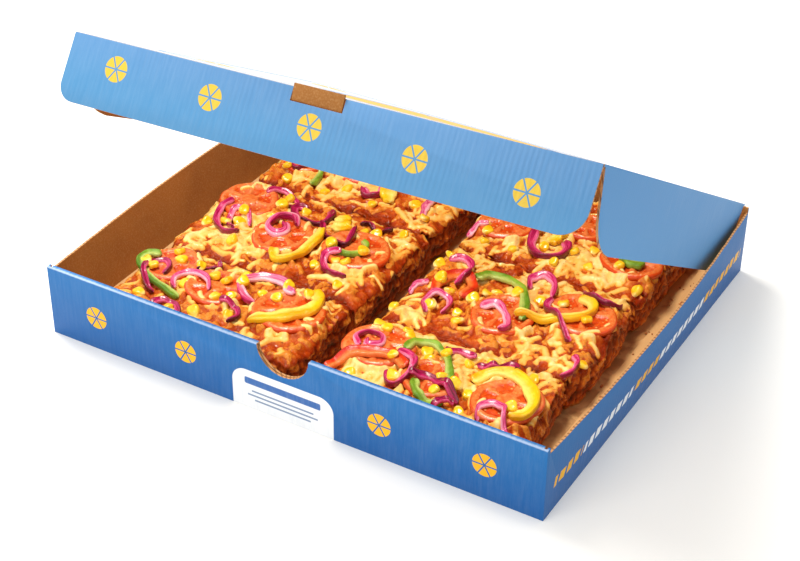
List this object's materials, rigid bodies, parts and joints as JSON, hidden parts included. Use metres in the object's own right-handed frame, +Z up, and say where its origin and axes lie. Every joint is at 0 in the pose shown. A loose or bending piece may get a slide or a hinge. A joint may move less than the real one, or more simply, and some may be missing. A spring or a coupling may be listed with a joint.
{
  "type": "pizza in its box",
  "caption": "Family pizza cut into rectangular slices, in a printed corrugated takeaway box with its lid raised.",
  "frame": {"origin": "middle of the tray's underside, on the surface it stands on", "axes": "+Z up, +X to the right along the front wall, +Y from the front wall with the finger notch towards the lid hinge"},
  "size_m": [0.3612, 0.2976, 0.2028],
  "materials": {
    "printed_card": "satin",
    "cheese_and_crust": "satin",
    "tomato": "gloss",
    "onion": "satin",
    "green_pepper": "gloss",
    "yellow_pepper": "gloss",
    "red_pepper": "gloss"
  },
  "bodies": {
    "tray": {"tray": "printed_card", "slice_left_front": "cheese_and_crust", "slice_left_middle": "cheese_and_crust", "slice_left_back": "cheese_and_crust", "slice_right_front": "cheese_and_crust", "slice_right_middle": "cheese_and_crust", "slice_right_back": "cheese_and_crust", "tomato_1": "tomato", "tomato_2": "tomato", "tomato_3": "tomato", "tomato_4": "tomato", "tomato_5": "tomato", "tomato_6": "tomato", "tomato_7": "tomato", "tomato_8": "tomato", "tomato_9": "tomato", "tomato_10": "tomato", "tomato_11": "tomato", "tomato_12": "tomato", "tomato_13": "tomato", "tomato_14": "tomato", "tomato_15": "tomato", "tomato_16": "tomato", "tomato_17": "tomato", "green_pepper_1": "green_pepper", "onion_1": "onion", "onion_2": "onion", "yellow_pepper_1": "yellow_pepper", "onion_3": "onion", "onion_4": "onion", "onion_5": "onion", "onion_6": "onion", "yellow_pepper_2": "yellow_pepper", "green_pepper_2": "green_pepper", "onion_7": "onion", "yellow_pepper_3": "yellow_pepper", "onion_8": "onion", "green_pepper_3": "green_pepper", "onion_9": "onion", "yellow_pepper_4": "yellow_pepper", "onion_10": "onion", "red_pepper_1": "red_pepper", "onion_11": "onion", "green_pepper_4": "green_pepper", "onion_12": "onion", "green_pepper_5": "green_pepper", "yellow_pepper_5": "yellow_pepper", "red_pepper_2": "red_pepper", "onion_13": "onion", "onion_14": "onion", "green_pepper_6": "green_pepper", "yellow_pepper_6": "yellow_pepper", "onion_15": "onion", "onion_16": "onion", "onion_17": "onion", "onion_18": "onion", "yellow_pepper_7": "yellow_pepper", "green_pepper_7": "green_pepper"},
    "lid": {"lid": "printed_card"},
    "front_flap": {"front_flap": "printed_card"}
  },
  "joints": [
    {"name": "lid_hinge", "type": "hinge", "parent": "tray", "child": "lid", "pos_m": [0, 0.148, 0.05125], "axis": [-1, 0, 0], "range_deg": [-29, 84]},
    {"name": "flap_crease", "type": "hinge", "parent": "lid", "child": "front_flap", "pos_m": [0, -0.10011, 0.1974], "axis": [-0.9995, -0.016, -0.0272], "range_deg": [-12, 34]}
  ],
  "couplings": [
    {"joint": "flap_crease", "follows": "lid_hinge", "ratio": 0.4}
  ]
}
